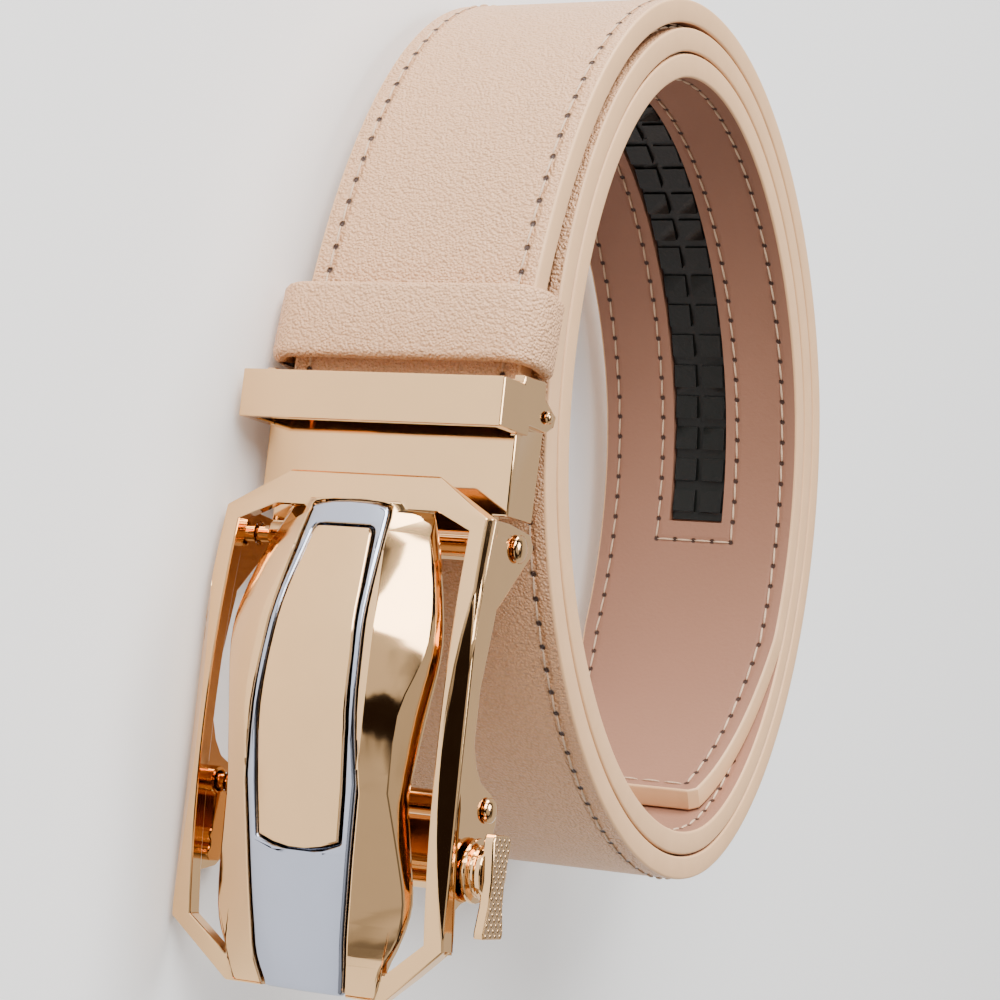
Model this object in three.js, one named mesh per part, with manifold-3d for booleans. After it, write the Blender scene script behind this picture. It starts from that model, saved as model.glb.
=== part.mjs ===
// A ratchet belt, rolled up and lying on its side.
// Lengths are millimetres. X runs down the buckle, Y from its face into the belt,
// Z across the strap. The origin is under the middle of the belt, where it lies.

import * as THREE from 'three';
import { ConvexGeometry } from 'three/addons/geometries/ConvexGeometry.js';
import { mergeVertices } from 'three/addons/utils/BufferGeometryUtils.js';
import Module from 'manifold-3d';

const wasm = await Module();
wasm.setup();

// Clear space between two pieces that touch, and round a pin
const CLEARANCE = 0.3;

// Strap
const STRAP_WIDTH = 35;
const STRAP_THICKNESS = 3.5;
const TAPER_LENGTH = 37;
const TIP_WIDTH = 28;
const TIP_CORNER = 1.5;

// Roll of the strap: turns of a flattened oval, one inside the other.
// Winding angles start at the side behind the buckle and count along the strap.
const TURN_GAP = 0.35;
const ROLL_HALF_LENGTH = 69.1;
const ROLL_HALF_DEPTH = 56.1;
const ROLL_ROUNDNESS = 1.894;
const ROLL_TURN = 18.1;
const ROLL_ABOVE_BUCKLE = 16.8;
const ROLL_CLEARANCE = 1.8;
const JOIN_ANGLE = 109.7;
const TIP_ANGLE = 984;
const ROLL_STEP = 7.5;
const LEAVING_HANDLE = 0.1;
const JOINING_HANDLE = 0.56;

// Ratchet track in the lining
const TRACK_SLOT_WIDTH = 9.6;
const TRACK_SLOT_DEPTH = 1.5;
const TRACK_BASE = 0.5;
const TRACK_FROM_TIP = 53.5;
const TRACK_LENGTH = 240;
const TRACK_PITCH = 5.3;
const TRACK_TILE = 3.7;
const TRACK_GROOVE = 1.1;
const TRACK_TOOTH_LOW = 0.35;

// Strap clamp with the bar that the tail passes under
const CLAMP_LENGTH = 17;
const CLAMP_FOOT = 1.3;
const BAR_INSET = 0.8;
const BAR_LENGTH = 6.55;
const BAR_THICKNESS = 1.7;
const BAR_FRONT = -0.1;
const TAIL_SLACK = 1.5;
const PLATE_THICKNESS = 1.8;
const SIDE_SLACK = 0.4;
const SIDE_WALL = 1;
const SIDE_WALL_DEPTH = 8;
const SIDE_WALL_TOP = 0.647;
const EAR_STEP = 0.97;
const EAR_WALL = 1.57;
const FLAP_THICKNESS = 1.7;
const FLAP_PIN_RADIUS = 0.5;
const FLAP_PIN_HEAD = 0.9;
const FLAP_PIN_ABOVE_FRAME = CLAMP_LENGTH - 4.1;
const STRAP_END = 0.5;

// Hinge between the clamp and the buckle frame
const HINGE_BELOW_TOP = 5.4;
const HINGE_BEHIND_PLATE = 1.15;
const KNUCKLE_RADIUS = 2;
const PIN_RADIUS = 1.2;
const PIN_HEAD_RADIUS = 1.95;
const PIN_HEAD_HEIGHT = 0.8;

// Keeper loop
const KEEPER_LENGTH = 10.8;
const KEEPER_WALL = 2.2;
const KEEPER_SIDE_SLACK = 1.1;
const KEEPER_TAIL_GAP = 1.8;
const KEEPER_BACK_GAP = 0.45;
const KEEPER_FRONT_CORNER = 2.6;
const KEEPER_BACK_CORNER = 1.5;
const KEEPER_ABOVE_CLAMP = 1.5;

// Buckle frame
const FRAME_LENGTH = 65;
const RIM_RISE = 3.5;
const RIM_DEPTH = 2.4;
const TOP_BEVEL_LENGTH = 2.84;
const TOP_BEVEL_DEPTH = 1.2;
const TAIL_FACE = 1.6;
const CHAMFER_START = 1.5;
const CHAMFER_SLOPE = 1.075;
const FLANGE_THICKNESS = 1.1;
const FLANGE_DEPTH = 12.5;
const BODY_RISE = 7.9;
const BODY_WALL = 1.8;
const BODY_EDGE = 0.8;

// Inlay down the middle of the buckle and the insert in it
const INLAY_CROWN = 0.6;
const INLAY_THICKNESS = 1.6;
const INLAY_TOP = 1.2;
const INSERT_THICKNESS = 0.8;
const INSERT_TOP = 4.8;
const INSERT_FOOT = 45.4;
const INSERT_FOOT_BULGE = 1.3;

// Pawl and release lever
const PAWL_PIN_BELOW_TOP = 39.5;
const PAWL_PIN_DEPTH = 7;
const PAWL_PIN_RADIUS = 1.1;
const PAWL_PIN_HEAD = 1.75;
const PAWL_LENGTH = 12.8;
const PAWL_HEIGHT = 3.8;
const PAWL_BARREL = 2;
const PAWL_SIDE_GAP = 1.4;
const LEVER_BELOW_TOP = 47.2;
const LEVER_DEPTH = 4.2;
const LEVER_SHAFT_RADIUS = 1.5;
const LEVER_BOSS_RADIUS = 4.2;
const LEVER_BOSS_HEIGHT = 2.6;
const PADDLE_LENGTH = 13.2;
const PADDLE_WIDTH = 5.6;
const PADDLE_THICKNESS = 1.5;

// Places that follow from the sizes above
const HALF_STRAP = STRAP_WIDTH / 2;
const PLATE_FRONT = BAR_FRONT + BAR_THICKNESS + STRAP_THICKNESS + TAIL_SLACK;
const STRAP_FACE = PLATE_FRONT + PLATE_THICKNESS + CLEARANCE;
const STRAP_BACK = STRAP_FACE + STRAP_THICKNESS;
const CLAMP_HALF = HALF_STRAP + SIDE_SLACK + SIDE_WALL;
const EAR_HALF = CLAMP_HALF + EAR_STEP;
const HINGE_DEPTH = PLATE_FRONT + HINGE_BEHIND_PLATE;
const FLANGE_INNER = CLAMP_HALF + CLEARANCE;
const FRAME_HALF = FLANGE_INNER + FLANGE_THICKNESS;
const FLAP_FACE = STRAP_BACK + CLEARANCE;
const FLAP_PIN_DEPTH = FLAP_FACE + FLAP_PIN_RADIUS + 0.15;
const BORE = PIN_RADIUS + CLEARANCE;

// Outline of the frame's front: place down the frame as a share of its length,
// half width as a share of the frame's half width.
const OUTLINE = [
  { at: 0, half: 0.611 },
  { at: 0.039, half: 0.97 },
  { at: 0.886, half: 1.003 },
  { at: 1, half: 0.586 },
];

// Outline of the back edge: it stands out above the top edge as a bevel.
const BACK_OUTLINE = [
  { at: 0.038, half: 1 },
  { at: 0.886, half: 1.01 },
  { at: 1, half: 0.586 },
];

// Opening inside the rim, in the same shares as the outline
const OPENING = [
  { at: 0.029, half: 0.601 },
  { at: 0.065, half: 0.857 },
  { at: 0.877, half: 0.862 },
  { at: 0.946, half: 0.586 },
];

// Raised body: place as a share of the frame's length, half widths as shares of the
// frame's half width, heights as shares of the body's rise. inlay is the edge beside
// the inlay, ridge the outer edge of the face, foot the lowest visible edge.
const BODY = [
  { at: 0.015, inlay: 0.271, inlayRise: 0.127, ridge: 0.483, ridgeRise: -0.215, foot: 0.517, footRise: -0.354 },
  { at: 0.118, inlay: 0.335, inlayRise: 0.456, ridge: 0.606, ridgeRise: 0.114, foot: 0.64, footRise: -0.013 },
  { at: 0.238, inlay: 0.404, inlayRise: 0.823, ridge: 0.709, ridgeRise: 0.348, foot: 0.749, footRise: 0.19 },
  { at: 0.323, inlay: 0.424, inlayRise: 0.937, ridge: 0.714, ridgeRise: 0.494, foot: 0.773, footRise: 0.247 },
  { at: 0.443, inlay: 0.436, inlayRise: 1, ridge: 0.621, ridgeRise: 0.722, foot: 0.724, footRise: 0.291 },
  { at: 0.594, inlay: 0.404, inlayRise: 0.823, ridge: 0.591, ridgeRise: 0.608, foot: 0.66, footRise: 0.323 },
  { at: 0.723, inlay: 0.374, inlayRise: 0.646, ridge: 0.655, ridgeRise: 0.304, foot: 0.695, footRise: 0.133 },
  { at: 0.805, inlay: 0.357, inlayRise: 0.519, ridge: 0.685, ridgeRise: 0.139, foot: 0.714, footRise: 0.03 },
  { at: 0.877, inlay: 0.34, inlayRise: 0.392, ridge: 0.66, ridgeRise: 0.114, foot: 0.67, footRise: 0.063 },
  { at: 0.938, inlay: 0.328, inlayRise: 0.253, ridge: 0.567, ridgeRise: 0.139, foot: 0.576, footRise: 0.101 },
  { at: 0.997, inlay: 0.291, inlayRise: 0.013, ridge: 0.522, ridgeRise: 0.006, foot: 0.532, footRise: -0.013 },
];

// The row of the body where its face breaks from one curve into the next
const BODY_CREASE = 5;

// Free edge of a side flange: place as a share of the frame's length, depth behind
// the frame's front as a share of the flange's depth.
const FLANGE = [
  { at: 0.038, depth: 0.4 },
  { at: 0.049, depth: 0.896 },
  { at: 0.072, depth: 1 },
  { at: 0.092, depth: 0.976 },
  { at: 0.215, depth: 0.296 },
  { at: 0.374, depth: 0.12 },
  { at: 0.48, depth: 0.117 },
  { at: 0.522, depth: 0.212 },
  { at: 0.555, depth: 0.36 },
  { at: 0.578, depth: 0.648 },
  { at: 0.606, depth: 0.808 },
  { at: 0.643, depth: 0.776 },
  { at: 0.7, depth: 0.712 },
  { at: 0.763, depth: 0.624 },
  { at: 0.782, depth: 0.488 },
  { at: 0.792, depth: 0.2 },
  { at: 0.805, depth: 0.088 },
  { at: 0.889, depth: 0.12 },
];

// Half width of the insert as a share of the frame's half width
const INSERT = [
  { at: 0.077, half: 0.213 },
  { at: 0.203, half: 0.263 },
  { at: 0.337, half: 0.299 },
  { at: 0.477, half: 0.314 },
  { at: 0.595, half: 0.308 },
  { at: 0.698, half: 0.29 },
];

// Ear of the clamp: above is the place as a share of the clamp's length, from its foot
// side to its end, depth a share of the distance from the bar's back to the strap's back.
const EAR = [
  { above: SIDE_WALL_TOP, depth: 0.45 },
  { above: 1.02, depth: 0.38 },
  { above: 1.03, depth: 0.985 },
  { above: 0.894, depth: 1.04 },
  { above: 0.788, depth: 1.37 },
  { above: 0.7, depth: 1.33 },
  { above: 0.641, depth: 1.14 },
];

// Release paddle seen from outside: along is a share of its length, edge a share of
// half its width, so that the middle is waisted.
const PADDLE = [
  { along: 0, edge: 0.7 },
  { along: 0.06, edge: 0.9 },
  { along: 0.45, edge: 0.66 },
  { along: 0.7, edge: 0.72 },
  { along: 0.95, edge: 1 },
  { along: 1, edge: 0.92 },
];

// A closed geometry as a solid that can be joined and cut
function solid(geometry) {
  const bare = geometry.clone();
  bare.deleteAttribute('normal');
  bare.deleteAttribute('uv');
  const merged = mergeVertices(bare, 1e-4);
  const triangles = [];
  for (let i = 0; i < merged.index.count; i += 3) {
    const [a, b, c] = [0, 1, 2].map((k) => merged.index.getX(i + k));
    if (a !== b && b !== c && c !== a) triangles.push(a, b, c);
  }
  return new wasm.Manifold(new wasm.Mesh({
    numProp: 3,
    vertProperties: new Float32Array(merged.attributes.position.array),
    triVerts: new Uint32Array(triangles),
  }));
}

// A cut or joined solid as a geometry again
function geometryOf(shape) {
  const { vertProperties, triVerts } = shape.getMesh();
  const geometry = new THREE.BufferGeometry();
  geometry.setAttribute('position', new THREE.BufferAttribute(vertProperties, 3));
  geometry.setIndex(new THREE.BufferAttribute(triVerts, 1));
  geometry.computeVertexNormals();
  return geometry;
}

function shapeOf(points) {
  return new THREE.Shape(points.map(([x, y]) => new THREE.Vector2(x, y)));
}

// Points on an arc, from one angle to another in degrees
function arc(x, y, radius, from, to, steps = 5) {
  return Array.from({ length: steps + 1 }, (_, i) => {
    const turn = THREE.MathUtils.degToRad(from + (to - from) * i / steps);
    return [x + radius * Math.cos(turn), y + radius * Math.sin(turn)];
  });
}

// Points [x, y] pushed along Z from low to high
function prismZ(points, low, high) {
  const depth = high - low;
  return solid(new THREE.ExtrudeGeometry(shapeOf(points), { depth, bevelEnabled: false }).translate(0, 0, low));
}

// Points [x, z] pushed along Y from front to back
function prismY(points, front, back) {
  const depth = back - front;
  const geometry = new THREE.ExtrudeGeometry(shapeOf(points), { depth, bevelEnabled: false });
  return solid(geometry.rotateX(Math.PI / 2).translate(0, back, 0));
}

// Points [y, z] pushed along X from start to end
function prismX(points, start, end) {
  const depth = end - start;
  const geometry = new THREE.ExtrudeGeometry(shapeOf(points), { depth, bevelEnabled: false });
  geometry.applyMatrix4(new THREE.Matrix4().set(0, 0, 1, start, 1, 0, 0, 0, 0, 1, 0, 0, 0, 0, 0, 1));
  return solid(geometry);
}

function block(x0, x1, y0, y1, z0, z1) {
  const geometry = new THREE.BoxGeometry(x1 - x0, y1 - y0, z1 - z0);
  return solid(geometry.translate((x0 + x1) / 2, (y0 + y1) / 2, (z0 + z1) / 2));
}

// A round bar along Z
function barZ(x, y, radius, low, high, sides = 24) {
  const geometry = new THREE.CylinderGeometry(radius, radius, high - low, sides);
  return solid(geometry.rotateX(Math.PI / 2).translate(x, y, (low + high) / 2));
}

// A skin through rings of points, each ring counterclockwise seen from the far end
function loft(rings) {
  const size = rings[0].length;
  const last = (rings.length - 1) * size;
  const index = [];
  for (let i = 0; i < rings.length - 1; i += 1) {
    for (let j = 0; j < size; j += 1) {
      const a = i * size + j;
      const b = i * size + (j + 1) % size;
      index.push(a, b, b + size, a, b + size, a + size);
    }
  }
  for (let j = 1; j < size - 1; j += 1) {
    index.push(0, j + 1, j, last, last + j, last + j + 1);
  }
  const geometry = new THREE.BufferGeometry();
  geometry.setAttribute('position', new THREE.Float32BufferAttribute(rings.flat(2), 3));
  geometry.setIndex(index);
  return solid(geometry);
}

// Value of one column of a table at a place, on straight lines between the rows
function along(table, key, column, place) {
  const next = table.findIndex((row) => row[key] >= place);
  if (next === 0) return table[0][column];
  if (next < 0) return table[table.length - 1][column];
  const [a, b] = [table[next - 1], table[next]];
  return THREE.MathUtils.mapLinear(place, a[key], b[key], a[column], b[column]);
}

// Both edges of a table's outline as points [x, z], round the frame
function outlinePoints(table, grow = 0) {
  const edge = table.map(({ at, half }) => [at * FRAME_LENGTH, half * FRAME_HALF + grow]);
  return [...edge, ...edge.map(([x, z]) => [x, -z]).reverse()];
}

// Roll of the strap

// A point of the roll, in from its outer face by depth, before the roll is placed
function rollPoint(angle, depth) {
  const inward = depth + (STRAP_THICKNESS + TURN_GAP) * angle / 360;
  const round = (value) => Math.sign(value) * Math.abs(value) ** (2 / ROLL_ROUNDNESS);
  const turn = THREE.MathUtils.degToRad(angle);
  return new THREE.Vector2(
    -(ROLL_HALF_LENGTH - inward) * round(Math.sin(turn)),
    -(ROLL_HALF_DEPTH - inward) * round(Math.cos(turn)),
  ).rotateAround(new THREE.Vector2(), THREE.MathUtils.degToRad(ROLL_TURN));
}

// The second turn passes behind the clamp's ears, so the roll stands back by its reach
function rollCentre() {
  let reach = 0;
  for (let angle = 360; angle < 480; angle += ROLL_STEP) reach = Math.max(reach, -rollPoint(angle, 0).y);
  const deepest = Math.max(...EAR.map(({ depth }) => earDepth(depth)));
  return new THREE.Vector2(-ROLL_ABOVE_BUCKLE, deepest + ROLL_CLEARANCE + reach);
}

function earDepth(share) {
  const barBack = BAR_FRONT + BAR_THICKNESS;
  return barBack + share * (STRAP_BACK - barBack);
}

const ROLL_CENTRE = rollCentre();

// Corners of the placed roll lie at even steps, with straight lines between them
function strapPoint(angle, depth) {
  const step = Math.floor((angle - JOIN_ANGLE) / ROLL_STEP);
  const from = JOIN_ANGLE + step * ROLL_STEP;
  const point = rollPoint(from, depth);
  return point.lerp(rollPoint(from + ROLL_STEP, depth), (angle - from) / ROLL_STEP).add(ROLL_CENTRE);
}

// The winding angle a distance back from another, measured on the lining
function angleBack(angle, distance) {
  const step = 0.25;
  let [here, left] = [angle, distance];
  while (left > 0) {
    const length = strapPoint(here, STRAP_THICKNESS).distanceTo(strapPoint(here - step, STRAP_THICKNESS));
    here -= step * Math.min(1, left / length);
    left -= length;
  }
  return here;
}

// Outer and inner points of the strap from the clamp to the roll
function leavingPoints() {
  const start = new THREE.Vector2(-CLAMP_LENGTH, STRAP_FACE);
  const end = strapPoint(JOIN_ANGLE, 0);
  const chord = start.distanceTo(end);
  const running = strapPoint(JOIN_ANGLE + 1, 0).sub(end).normalize();
  const curve = new THREE.CubicBezierCurve(
    start,
    start.clone().add(new THREE.Vector2(-chord * LEAVING_HANDLE, 0)),
    end.clone().addScaledVector(running, -chord * JOINING_HANDLE),
    end,
  );
  return curve;
}

function offsetPoint(curve, share, depth) {
  const tangent = curve.getTangent(share);
  return curve.getPoint(share).add(new THREE.Vector2(tangent.y, -tangent.x).multiplyScalar(depth));
}

const LEAVING = leavingPoints();
const LEAVING_STEPS = 14;

// Rings of a band on the strap: half is half its width, and the depths from the outer
// face are those of its two faces.
function bandRing(outer, inner, half) {
  return [
    [outer.x, outer.y, -half],
    [outer.x, outer.y, half],
    [inner.x, inner.y, half],
    [inner.x, inner.y, -half],
  ];
}

function rollAngles(from, to) {
  const angles = [from];
  const first = Math.floor((from - JOIN_ANGLE) / ROLL_STEP) + 1;
  for (let angle = JOIN_ANGLE + first * ROLL_STEP; angle < to - 0.5; angle += ROLL_STEP) {
    if (angle > from + 0.5) angles.push(angle);
  }
  return [...angles, to];
}

const TAPER_ANGLE = angleBack(TIP_ANGLE, TAPER_LENGTH);
const CORNER_ANGLE = angleBack(TIP_ANGLE, TIP_CORNER);

function halfWidth(angle) {
  const halfTip = TIP_WIDTH / 2;
  if (angle < TAPER_ANGLE) return HALF_STRAP;
  if (angle < CORNER_ANGLE) return THREE.MathUtils.mapLinear(angle, TAPER_ANGLE, CORNER_ANGLE, HALF_STRAP, halfTip);
  return THREE.MathUtils.mapLinear(angle, CORNER_ANGLE, TIP_ANGLE, halfTip, halfTip - TIP_CORNER * 0.7);
}

function strapBody() {
  const rings = [bandRing(new THREE.Vector2(STRAP_END, STRAP_FACE), new THREE.Vector2(STRAP_END, STRAP_BACK), HALF_STRAP)];
  for (let i = 0; i < LEAVING_STEPS; i += 1) {
    const share = i / LEAVING_STEPS;
    rings.push(bandRing(LEAVING.getPoint(share), offsetPoint(LEAVING, share, STRAP_THICKNESS), HALF_STRAP));
  }
  const angles = [...rollAngles(JOIN_ANGLE, TAPER_ANGLE), ...rollAngles(TAPER_ANGLE, CORNER_ANGLE).slice(1), TIP_ANGLE];
  for (const angle of angles) {
    rings.push(bandRing(strapPoint(angle, 0), strapPoint(angle, STRAP_THICKNESS), halfWidth(angle)));
  }
  return loft(rings);
}

function bandOnRoll(from, to, depth, far, half) {
  return loft(rollAngles(from, to).map((angle) => bandRing(strapPoint(angle, depth), strapPoint(angle, far), half)));
}

const TRACK_END = angleBack(TIP_ANGLE, TRACK_FROM_TIP);
const TRACK_START = angleBack(TRACK_END, TRACK_LENGTH);
const SLOT_FLOOR = STRAP_THICKNESS - TRACK_SLOT_DEPTH;

function strap() {
  const slot = bandOnRoll(TRACK_START, TRACK_END, SLOT_FLOOR, STRAP_THICKNESS + 1, TRACK_SLOT_WIDTH / 2);
  return strapBody().subtract(slot);
}

// One tooth of the track: it climbs towards the tip of the strap
function tile(start, middle, width) {
  const root = SLOT_FLOOR + CLEARANCE + TRACK_BASE / 2;
  const low = SLOT_FLOOR + CLEARANCE + TRACK_BASE + TRACK_TOOTH_LOW;
  const end = angleBack(start, TRACK_TILE);
  const ring = (angle, top) => bandRing(strapPoint(angle, root), strapPoint(angle, top), width / 2)
    .map(([x, y, z]) => [x, y, z + middle]);
  return loft([ring(end, low), ring(start, STRAP_THICKNESS)]);
}

function ratchetTrack() {
  const room = CLEARANCE / 2;
  const half = TRACK_SLOT_WIDTH / 2 - CLEARANCE;
  const floor = SLOT_FLOOR + CLEARANCE;
  const from = angleBack(TRACK_END, TRACK_LENGTH - CLEARANCE - room);
  let shape = bandOnRoll(from, angleBack(TRACK_END, CLEARANCE), floor, floor + TRACK_BASE, half);
  const width = half - TRACK_GROOVE / 2 - room;
  const middle = TRACK_GROOVE / 2 + width / 2;
  const rows = Math.floor((TRACK_LENGTH - TRACK_TILE) / TRACK_PITCH);
  let start = angleBack(TRACK_END, TRACK_PITCH - TRACK_TILE);
  for (let row = 0; row < rows; row += 1) {
    shape = shape.add(tile(start, middle, width)).add(tile(start, -middle, width));
    start = angleBack(start, TRACK_PITCH);
  }
  return shape;
}

// A ring of leather round the strap, square to it where it lies
function keeperLoop() {
  const halfIn = HALF_STRAP + KEEPER_SIDE_SLACK;
  const front = -KEEPER_TAIL_GAP;
  const back = STRAP_THICKNESS + KEEPER_BACK_GAP;
  const outline = (grow) => {
    const r0 = KEEPER_FRONT_CORNER + grow;
    const r1 = KEEPER_BACK_CORNER + grow;
    const [x0, x1, y] = [front - grow + r0, back + grow - r1, halfIn + grow];
    return [
      ...arc(x0, r0 - y, r0, -90, -180),
      ...arc(x0, y - r0, r0, 180, 90),
      ...arc(x1, y - r1, r1, 90, 0),
      ...arc(x1, r1 - y, r1, 0, -90),
    ];
  };
  const ring = shapeOf(outline(KEEPER_WALL));
  ring.holes.push(shapeOf(outline(0).reverse()));
  const geometry = new THREE.ExtrudeGeometry(ring, { depth: KEEPER_LENGTH, bevelEnabled: false });
  geometry.translate(0, 0, -KEEPER_LENGTH / 2);
  const share = shareAt(KEEPER_ABOVE_CLAMP + KEEPER_LENGTH / 2);
  const place = LEAVING.getPoint(share);
  const tangent = LEAVING.getTangent(share);
  const inward = new THREE.Vector3(tangent.y, -tangent.x, 0);
  const running = new THREE.Vector3(tangent.x, tangent.y, 0);
  const matrix = new THREE.Matrix4().makeBasis(inward, new THREE.Vector3(0, 0, 1), running.negate());
  return solid(geometry.applyMatrix4(matrix.setPosition(place.x, place.y, 0)));
}

// Share of the curve's parameter at a distance from its start
function shareAt(distance) {
  const steps = 400;
  let length = 0;
  for (let i = 1; i <= steps; i += 1) {
    length += LEAVING.getPoint(i / steps).distanceTo(LEAVING.getPoint((i - 1) / steps));
    if (length >= distance) return i / steps;
  }
  return 1;
}

// Clamp that holds the strap's end

function strapClamp() {
  const top = -CLAMP_LENGTH;
  const barTop = top + BAR_INSET;
  const barFoot = barTop + BAR_LENGTH;
  const wallTop = -CLAMP_LENGTH * SIDE_WALL_TOP;
  const plateBack = PLATE_FRONT + PLATE_THICKNESS;
  let shape = block(top, CLAMP_FOOT, PLATE_FRONT, plateBack, -CLAMP_HALF, CLAMP_HALF);
  const knuckleHalf = FLANGE_INNER - 2 * FLANGE_THICKNESS - CLEARANCE / 2;
  shape = shape.add(block(0, HINGE_BELOW_TOP, PLATE_FRONT, plateBack, -knuckleHalf, knuckleHalf));
  shape = shape.add(barZ(HINGE_BELOW_TOP, HINGE_DEPTH, KNUCKLE_RADIUS, -knuckleHalf, knuckleHalf));
  shape = shape.add(block(barTop, barFoot, BAR_FRONT, BAR_FRONT + BAR_THICKNESS, -EAR_HALF, EAR_HALF));
  for (const side of [-1, 1]) {
    const ear = [side * (EAR_HALF - EAR_WALL), side * EAR_HALF].sort((a, b) => a - b);
    const wall = [side * (CLAMP_HALF - SIDE_WALL), side * CLAMP_HALF].sort((a, b) => a - b);
    const wallBack = PLATE_FRONT + SIDE_WALL_DEPTH;
    const wallSide = [[wallTop, plateBack - 1], [CLAMP_FOOT, plateBack - 1], [CLAMP_FOOT, wallBack - 0.6], [wallTop, wallBack]];
    const earSide = EAR.map(({ above, depth }) => [-above * CLAMP_LENGTH, earDepth(depth)]);
    shape = shape.add(prismZ(wallSide, ...wall));
    shape = shape.add(prismZ(earSide, ...ear));
    shape = shape.add(block(barTop, barFoot, BAR_FRONT + BAR_THICKNESS / 2, plateBack, ...ear));
  }
  const pinHole = barZ(-FLAP_PIN_ABOVE_FRAME, FLAP_PIN_DEPTH, FLAP_PIN_RADIUS + CLEARANCE, -EAR_HALF - 1, EAR_HALF + 1, 12);
  return shape.subtract(barZ(HINGE_BELOW_TOP, HINGE_DEPTH, BORE, -FRAME_HALF, FRAME_HALF)).subtract(pinHole);
}

function clampFlap() {
  const half = HALF_STRAP - CLEARANCE;
  const top = -FLAP_PIN_ABOVE_FRAME - 1.7;
  const foot = CLAMP_FOOT - 0.4;
  const plate = block(top, foot, FLAP_FACE, FLAP_FACE + FLAP_THICKNESS, -half, half);
  const lip = block(foot - 1.2, foot, FLAP_FACE, FLAP_FACE + FLAP_THICKNESS + 0.7, -half, half);
  const hook = barZ(-FLAP_PIN_ABOVE_FRAME, FLAP_PIN_DEPTH, FLAP_PIN_RADIUS + CLEARANCE, -half - 1, half + 1, 12);
  return plate.add(lip).subtract(hook);
}

// A rivet along Z with a domed head at each end
function rivet(x, y, radius, headRadius, headHeight, seat) {
  const dome = [];
  for (let i = 0; i <= 4; i += 1) {
    const turn = i / 4 * Math.PI / 2;
    dome.push(new THREE.Vector2(headRadius * Math.cos(turn), seat + headHeight * Math.sin(turn)));
  }
  const upper = [new THREE.Vector2(radius, 0), new THREE.Vector2(radius, seat), ...dome];
  const lower = upper.slice(1).map((point) => new THREE.Vector2(point.x, -point.y)).reverse();
  const profile = [...lower, ...upper];
  profile[0].x = 0;
  profile[profile.length - 1].x = 0;
  const geometry = new THREE.LatheGeometry(profile, 20);
  return solid(geometry.rotateX(Math.PI / 2).translate(x, y, 0));
}

// Buckle frame

// Height of the arched front above its two ends
function rimRise(x) {
  return 4 * RIM_RISE * x * (FRAME_LENGTH - x) / FRAME_LENGTH ** 2;
}

const RIM_STEPS = 18;

function rimPlaces() {
  const places = OUTLINE.map(({ at }) => at * FRAME_LENGTH);
  for (let i = 1; i < RIM_STEPS; i += 1) {
    const x = i / RIM_STEPS * FRAME_LENGTH;
    if (places.every((place) => Math.abs(place - x) > 1.5)) places.push(x);
  }
  return places.sort((a, b) => a - b);
}

// Plain block that the frame is cut from, arched in front and bevelled at the top
function frameBlank() {
  const topHalf = OUTLINE[0].half * FRAME_HALF - 1.1;
  const points = [];
  for (const side of [-1, 1]) {
    for (const x of rimPlaces()) {
      points.push(new THREE.Vector3(x, -rimRise(x), side * FRAME_HALF * along(OUTLINE, 'at', 'half', x / FRAME_LENGTH)));
    }
    for (const y of [TOP_BEVEL_DEPTH, TAIL_FACE]) points.push(new THREE.Vector3(-TOP_BEVEL_LENGTH, y, side * topHalf));
    for (const { at, half } of BACK_OUTLINE) {
      points.push(new THREE.Vector3(at * FRAME_LENGTH, TAIL_FACE, side * half * FRAME_HALF));
    }
  }
  return solid(new ConvexGeometry(points));
}

// Everything behind the front face by less than a depth, as a cutter along Z
function behindRim(depth) {
  const places = rimPlaces();
  const arch = places.map((x) => [x, depth - rimRise(x)]);
  const deep = FLANGE_DEPTH * 2;
  return prismZ([[-TOP_BEVEL_LENGTH - 5, depth], ...arch, [FRAME_LENGTH + 5, depth],
    [FRAME_LENGTH + 5, deep], [-TOP_BEVEL_LENGTH - 5, deep]], -2 * FRAME_HALF, 2 * FRAME_HALF);
}

// Section across the frame with the slanted side facets
function sideSection() {
  const edge = FRAME_HALF + 0.1;
  const at = (height) => edge - CHAMFER_SLOPE * (height - CHAMFER_START);
  const deep = FLANGE_DEPTH * 2;
  const high = RIM_RISE + 3 + BODY_RISE;
  const half = [[deep, at(-3)], [3, at(-3)], [-RIM_RISE - 1, at(RIM_RISE + 1)], [-high, at(RIM_RISE + 1)]];
  return prismX([...half, ...half.map(([y, z]) => [y, -z]).reverse()], -10, FRAME_LENGTH + 10);
}

function flange(side) {
  const edge = FLANGE.map(({ at, depth }) => [at * FRAME_LENGTH, depth * FLANGE_DEPTH]);
  const arch = rimPlaces().filter((x) => x > edge[0][0] && x < edge[edge.length - 1][0])
    .map((x) => [x, RIM_DEPTH / 2 - rimRise(x)]).reverse();
  const ends = [edge[edge.length - 1][0], edge[0][0]].map((x) => [x, RIM_DEPTH / 2 - rimRise(x)]);
  const walls = [side * FLANGE_INNER, side * FRAME_HALF].sort((a, b) => a - b);
  return prismZ([...edge, ends[0], ...arch, ends[1]], ...walls);
}

// Rows of the body between the table's rows: a smooth curve on each side of the crease
function bodyRows() {
  const names = Object.keys(BODY[0]);
  const parts = [BODY.slice(0, BODY_CREASE + 1), BODY.slice(BODY_CREASE)];
  return parts.flatMap((part, index) => {
    const curve = (name) => new THREE.SplineCurve(part.map((row) => new THREE.Vector2(row[name], 0)));
    const curves = Object.fromEntries(names.map((name) => [name, curve(name)]));
    const steps = (part.length - 1) * 3;
    const rows = [];
    for (let i = index; i <= steps; i += 1) {
      rows.push(Object.fromEntries(names.map((name) => [name, curves[name].getPoint(i / steps).x])));
    }
    return rows;
  });
}

const BODY_ROWS = bodyRows();

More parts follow.
